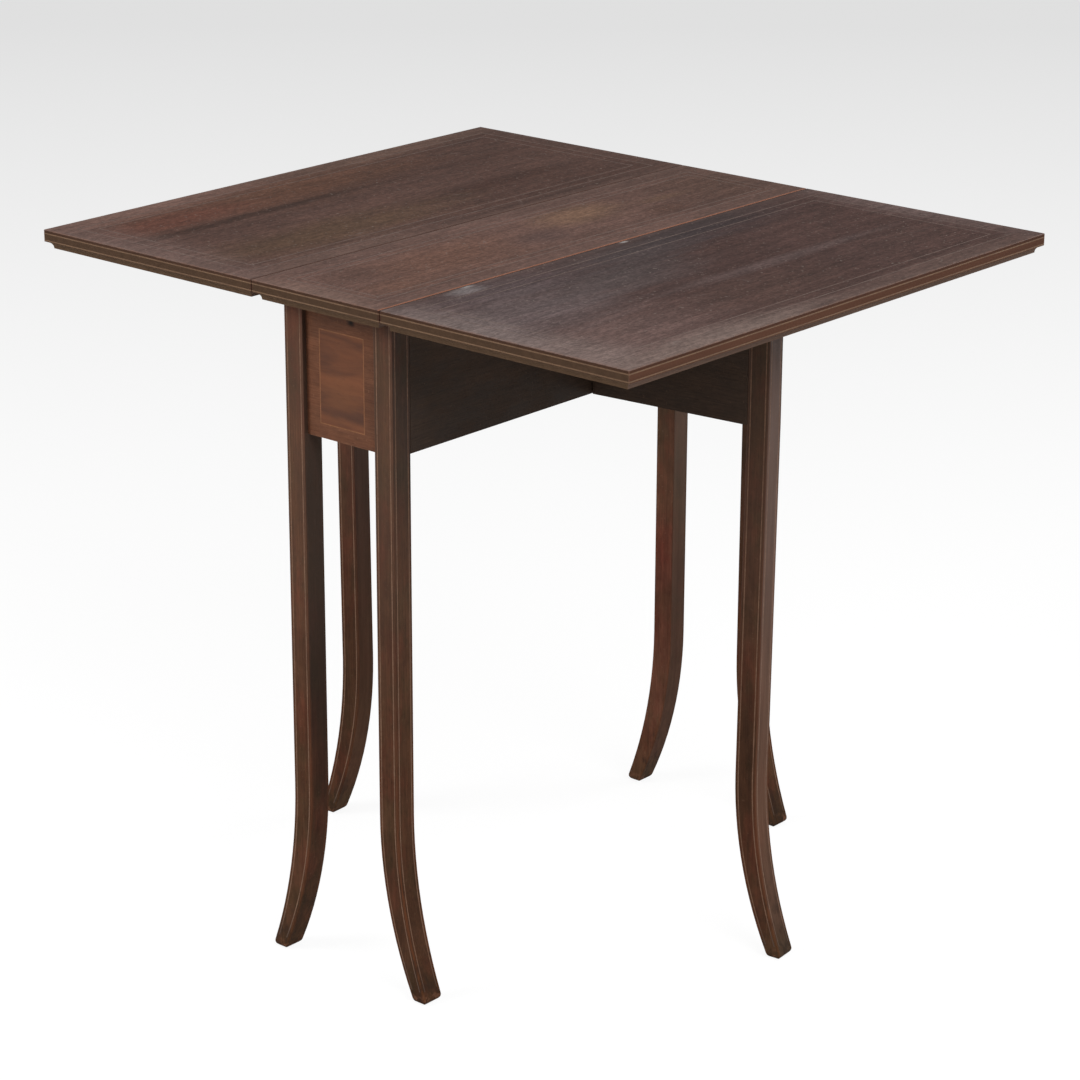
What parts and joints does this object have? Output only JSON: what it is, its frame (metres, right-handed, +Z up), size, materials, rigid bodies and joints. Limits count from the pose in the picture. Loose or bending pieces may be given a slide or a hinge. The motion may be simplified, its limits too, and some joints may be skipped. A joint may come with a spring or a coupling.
{
  "type": "drop-leaf side table",
  "caption": "Drop-leaf side table in dark mahogany with swinging gate legs, sabre feet and pale boxwood stringing",
  "frame": {"origin": "on the floor, under the middle of the open top", "axes": "X across the leaves towards the right leaf, Y along the table towards its far end, Z up"},
  "size_m": [0.755, 0.651, 0.711],
  "materials": {
    "centre_board_mahogany": "satin",
    "left_leaf_mahogany": "satin",
    "right_leaf_mahogany": "satin",
    "frame_mahogany": "satin",
    "end_mahogany": "satin",
    "figured_mahogany": "satin",
    "border_boxwood": "satin",
    "boxwood": "satin",
    "secondary_wood": "matte",
    "brass": "satin",
    "steel": "satin"
  },
  "bodies": {
    "frame": {"centre_board": "centre_board_mahogany", "centre_border_stringing": "border_boxwood", "centre_edge_stringing": "boxwood", "near_left_leg": "frame_mahogany", "near_right_leg": "frame_mahogany", "far_left_leg": "frame_mahogany", "far_right_leg": "frame_mahogany", "near_left_leg_stringing": "boxwood", "near_right_leg_stringing": "boxwood", "far_left_leg_stringing": "boxwood", "far_right_leg_stringing": "boxwood", "near_end_rail": "end_mahogany", "far_end_rail": "end_mahogany", "near_end_veneer": "figured_mahogany", "far_end_veneer": "figured_mahogany", "near_end_stringing": "boxwood", "far_end_stringing": "boxwood", "left_fixed_rail": "frame_mahogany", "right_fixed_rail": "frame_mahogany", "left_rail_block": "frame_mahogany", "right_rail_block": "frame_mahogany", "left_inner_rail": "secondary_wood", "right_inner_rail": "secondary_wood", "near_left_corner_block": "secondary_wood", "near_right_corner_block": "secondary_wood", "far_left_corner_block": "secondary_wood", "far_right_corner_block": "secondary_wood", "left_gate_pin": "steel", "right_gate_pin": "steel", "left_near_hinge_centre_flap": "brass", "left_far_hinge_centre_flap": "brass", "right_near_hinge_centre_flap": "brass", "right_far_hinge_centre_flap": "brass", "left_near_hinge_pin": "steel", "left_far_hinge_pin": "steel", "right_near_hinge_pin": "steel", "right_far_hinge_pin": "steel", "centre_hinge_screws": "steel", "top_fixing_screws": "steel", "rail_screws": "steel"},
    "left_leaf": {"left_leaf_board": "left_leaf_mahogany", "left_leaf_border_stringing": "border_boxwood", "left_leaf_edge_stringing": "boxwood", "left_near_hinge_leaf_flap": "brass", "left_far_hinge_leaf_flap": "brass", "left_leaf_hinge_screws": "steel"},
    "right_leaf": {"right_leaf_board": "right_leaf_mahogany", "right_leaf_border_stringing": "border_boxwood", "right_leaf_edge_stringing": "boxwood", "right_near_hinge_leaf_flap": "brass", "right_far_hinge_leaf_flap": "brass", "right_leaf_hinge_screws": "steel"},
    "left_gate": {"left_gate_arm": "frame_mahogany", "left_gate_leg": "frame_mahogany", "left_gate_leg_stringing": "boxwood"},
    "right_gate": {"right_gate_arm": "frame_mahogany", "right_gate_leg": "frame_mahogany", "right_gate_leg_stringing": "boxwood"}
  },
  "joints": [
    {"name": "left_gate_swing", "type": "hinge", "parent": "frame", "child": "left_gate", "pos_m": [-0.0583, 0.0018, 0.625], "axis": [0, 0, -1], "range_deg": [0, 93]},
    {"name": "right_gate_swing", "type": "hinge", "parent": "frame", "child": "right_gate", "pos_m": [0.0583, 0.0018, 0.625], "axis": [0, 0, 1], "range_deg": [0, 84.2]},
    {"name": "left_leaf_lift", "type": "hinge", "parent": "frame", "child": "left_leaf", "pos_m": [-0.083, 0, 0.6944], "axis": [0, 1, 0], "range_deg": [0, 2.5]},
    {"name": "right_leaf_lift", "type": "hinge", "parent": "frame", "child": "right_leaf", "pos_m": [0.083, 0, 0.6944], "axis": [0, -1, 0], "range_deg": [0, 2.5]}
  ]
}
